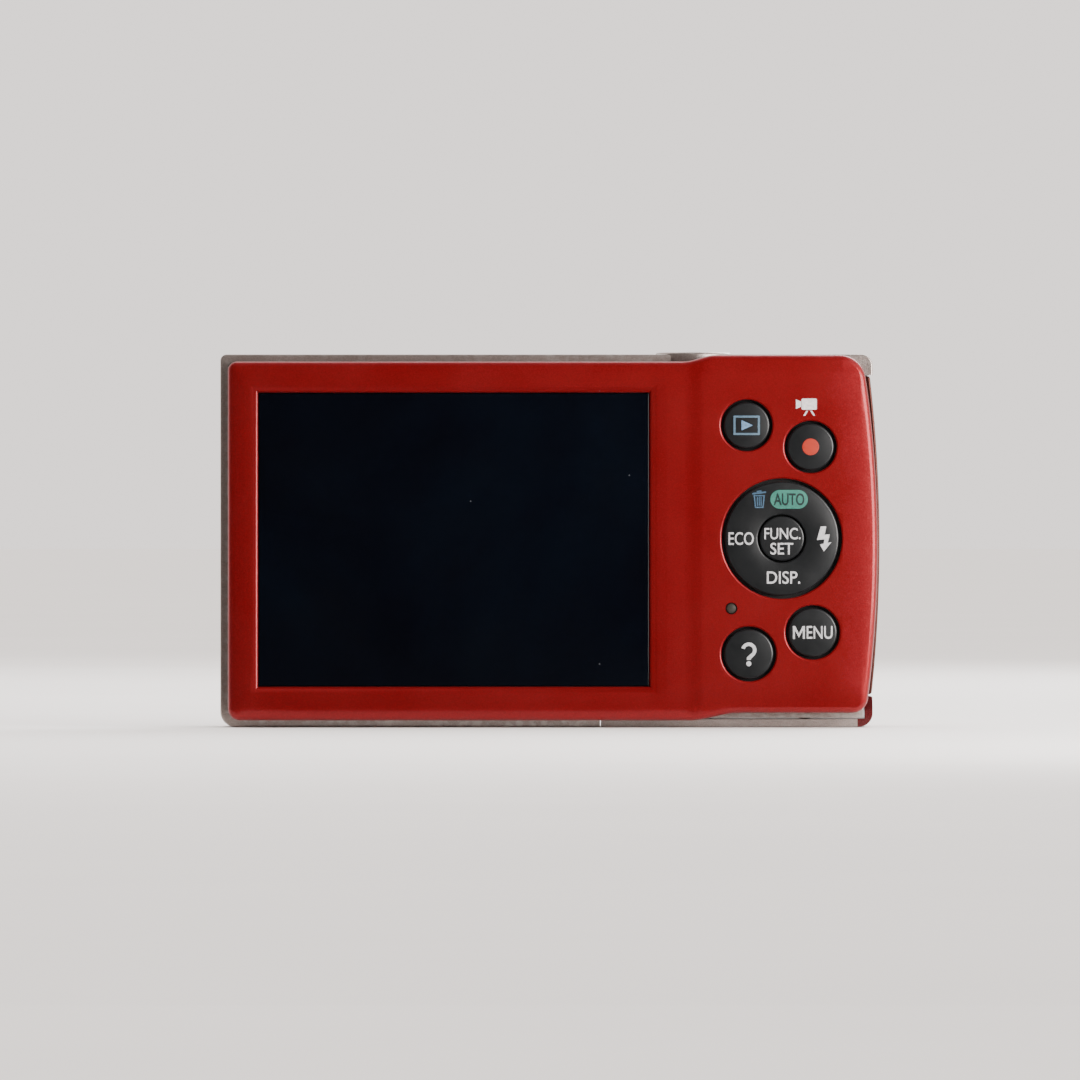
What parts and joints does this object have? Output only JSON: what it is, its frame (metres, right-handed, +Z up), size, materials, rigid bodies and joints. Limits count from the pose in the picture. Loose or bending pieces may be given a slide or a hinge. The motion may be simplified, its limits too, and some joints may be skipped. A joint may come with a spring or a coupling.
{
  "type": "compact digital camera",
  "caption": "Slim pocket camera with a bowed grip side, rear screen, round rear controls, telescoping lens, zoom lever, tripod socket and a battery door.",
  "frame": {"origin": "middle of the base, on the surface that the camera stands on", "axes": "+Z up, -Y out of the lens, +Y out of the screen, -X towards the grip and the controls; +X is its longest side"},
  "size_m": [0.0952, 0.0226, 0.0543],
  "materials": {
    "red_metal": "anodised metallic red, fine flake, satin gloss",
    "silver_trim": "silver metallic paint, satin",
    "umber_lacquer": "dark red-brown metallic lacquer, satin",
    "terminal_rubber": "moulded, silver-grey",
    "key_rubber": "moulded",
    "screw_steel": "dark plated",
    "spring_steel": "drawn wire",
    "sheet_steel": "plated sheet",
    "screen_glass": "clear window over a dark display, gloss",
    "lcd_black": "satin",
    "backlight_white": "satin",
    "circuit_board": "solder mask, semi-gloss",
    "key_black": "gloss",
    "inner_plastic": "matt",
    "lamp_plastic": "translucent grey",
    "barrier_black": "black anodised",
    "lens_glass": "coated",
    "sensor_ceramic": "packaged chip",
    "flash_clear": "clear, prismatic",
    "reflector_silver": "bright plated",
    "capacitor_sleeve": "sleeved",
    "thread_brass": "nickel-plated brass",
    "contact_brass": "gold-plated",
    "cell_wrap": "moulded case"
  },
  "bodies": {
    "camera_body": {"back_cover": "red_metal", "front_cover": "red_metal", "mid_frame": "silver_trim", "side_panel": "umber_lacquer", "strap_pin": "screw_steel", "usb_socket": "sheet_steel", "screw_base": "screw_steel", "screw_end_low": "screw_steel", "screw_end_high": "screw_steel", "screw_panel_low": "screw_steel", "screw_panel_high": "screw_steel", "screen_window": "screen_glass", "lcd_panel": "lcd_black", "lcd_backlight": "backlight_white", "chassis_plate": "sheet_steel", "main_board": "circuit_board", "control_board": "circuit_board", "key_pad": "key_rubber", "indicator_lamp": "lamp_plastic", "release_base": "inner_plastic", "shutter_spring": "spring_steel", "lens_trim_ring": "silver_trim", "lens_housing": "inner_plastic", "image_sensor": "sensor_ceramic", "zoom_motor": "sheet_steel", "flash_window": "flash_clear", "flash_reflector": "reflector_silver", "flash_tube": "flash_clear", "af_lamp": "flash_clear", "flash_capacitor": "capacitor_sleeve", "speaker": "capacitor_sleeve", "microphone": "capacitor_sleeve", "tripod_socket": "thread_brass", "battery": "cell_wrap", "battery_box": "inner_plastic", "battery_terminals": "contact_brass", "memory_card": "cell_wrap", "card_socket": "sheet_steel"},
    "playback_button": {"playback_button": "key_black"},
    "movie_button": {"movie_button": "key_black"},
    "menu_button": {"menu_button": "key_black"},
    "help_button": {"help_button": "key_black"},
    "set_button": {"set_button": "key_black"},
    "nav_ring_base": {"nav_ring_base": "inner_plastic"},
    "nav_ring": {"nav_ring": "key_black"},
    "shutter_button": {"shutter_button": "silver_trim"},
    "zoom_lever": {"zoom_lever": "silver_trim"},
    "power_button": {"power_button": "silver_trim"},
    "outer_barrel": {"outer_barrel": "silver_trim"},
    "inner_barrel": {"inner_barrel": "silver_trim", "front_lens": "lens_glass", "lens_cell": "inner_plastic", "rear_lens": "lens_glass"},
    "barrier_blade_upper": {"barrier_blade_upper": "barrier_black"},
    "barrier_blade_lower": {"barrier_blade_lower": "barrier_black"},
    "terminal_cover": {"terminal_cover": "terminal_rubber"},
    "door_slider": {"door_slider": "sheet_steel", "door_hinge_pin": "screw_steel"},
    "battery_door": {"battery_door": "silver_trim"},
    "battery_latch": {"battery_latch": "inner_plastic"}
  },
  "joints": [
    {"name": "playback_press", "type": "slide", "parent": "camera_body", "child": "playback_button", "axis": [0, -1, 0], "range_m": [0, 0.0003], "stiffness_N_per_m": 1500},
    {"name": "movie_press", "type": "slide", "parent": "camera_body", "child": "movie_button", "axis": [0, -1, 0], "range_m": [0, 0.0003], "stiffness_N_per_m": 1500},
    {"name": "menu_press", "type": "slide", "parent": "camera_body", "child": "menu_button", "axis": [0, -1, 0], "range_m": [0, 0.0003], "stiffness_N_per_m": 1500},
    {"name": "help_press", "type": "slide", "parent": "camera_body", "child": "help_button", "axis": [0, -1, 0], "range_m": [0, 0.0003], "stiffness_N_per_m": 1500},
    {"name": "set_press", "type": "slide", "parent": "camera_body", "child": "set_button", "axis": [0, -1, 0], "range_m": [0, 0.0003], "stiffness_N_per_m": 1500},
    {"name": "nav_rock_up_down", "type": "hinge", "parent": "camera_body", "child": "nav_ring_base", "pos_m": [-0.03335, 0.0093, 0.0272], "axis": [1, 0, 0], "range_deg": [-1.5, 1.5], "stiffness_Nm_per_rad": 0.05},
    {"name": "nav_rock_left_right", "type": "hinge", "parent": "nav_ring_base", "child": "nav_ring", "pos_m": [-0.03335, 0.0093, 0.0272], "axis": [0, 0, 1], "range_deg": [-1.2, 1.2], "stiffness_Nm_per_rad": 0.05},
    {"name": "shutter_press", "type": "slide", "parent": "camera_body", "child": "shutter_button", "axis": [0, 0, -1], "range_m": [0, 0.0006], "stiffness_N_per_m": 800, "deforming": ["shutter_spring"]},
    {"name": "zoom_turn", "type": "hinge", "parent": "camera_body", "child": "zoom_lever", "pos_m": [-0.0208, 0.001, 0.053], "axis": [0, 0, 1], "range_deg": [-20, 20], "stiffness_Nm_per_rad": 0.02},
    {"name": "power_press", "type": "slide", "parent": "camera_body", "child": "power_button", "axis": [0, 0, -1], "range_m": [0, 0.0003], "stiffness_N_per_m": 1500},
    {"name": "lens_extend", "type": "slide", "parent": "camera_body", "child": "outer_barrel", "axis": [0, -1, 0], "range_m": [0, 0.01]},
    {"name": "inner_extend", "type": "slide", "parent": "outer_barrel", "child": "inner_barrel", "axis": [0, -1, 0], "range_m": [0, 0.0095]},
    {"name": "upper_blade_swing", "type": "hinge", "parent": "inner_barrel", "child": "barrier_blade_upper", "pos_m": [0.0202, -0.0092, 0.026], "axis": [0, 1, 0], "range_deg": [0, 31]},
    {"name": "lower_blade_swing", "type": "hinge", "parent": "inner_barrel", "child": "barrier_blade_lower", "pos_m": [0.0018, -0.0092, 0.026], "axis": [0, 1, 0], "range_deg": [0, 31]},
    {"name": "terminal_cover_open", "type": "hinge", "parent": "camera_body", "child": "terminal_cover", "pos_m": [-0.0462, 0.001, 0.04385], "axis": [0, -1, 0], "range_deg": [0, 90]},
    {"name": "door_slide", "type": "slide", "parent": "camera_body", "child": "door_slider", "axis": [-1, 0, 0], "range_m": [0, 0.002]},
    {"name": "door_swing", "type": "hinge", "parent": "door_slider", "child": "battery_door", "pos_m": [-0.025, -0.0033, 0.00055], "axis": [-1, 0, 0], "range_deg": [0, 90]},
    {"name": "battery_latch_slide", "type": "slide", "parent": "camera_body", "child": "battery_latch", "axis": [1, 0, 0], "range_m": [0, 0.001], "stiffness_N_per_m": 100}
  ],
  "couplings": [
    {"joint": "inner_extend", "follows": "lens_extend", "ratio": 0.95},
    {"joint": "upper_blade_swing", "follows": "lens_extend", "rad_per_m": 54},
    {"joint": "lower_blade_swing", "follows": "lens_extend", "rad_per_m": 54}
  ]
}
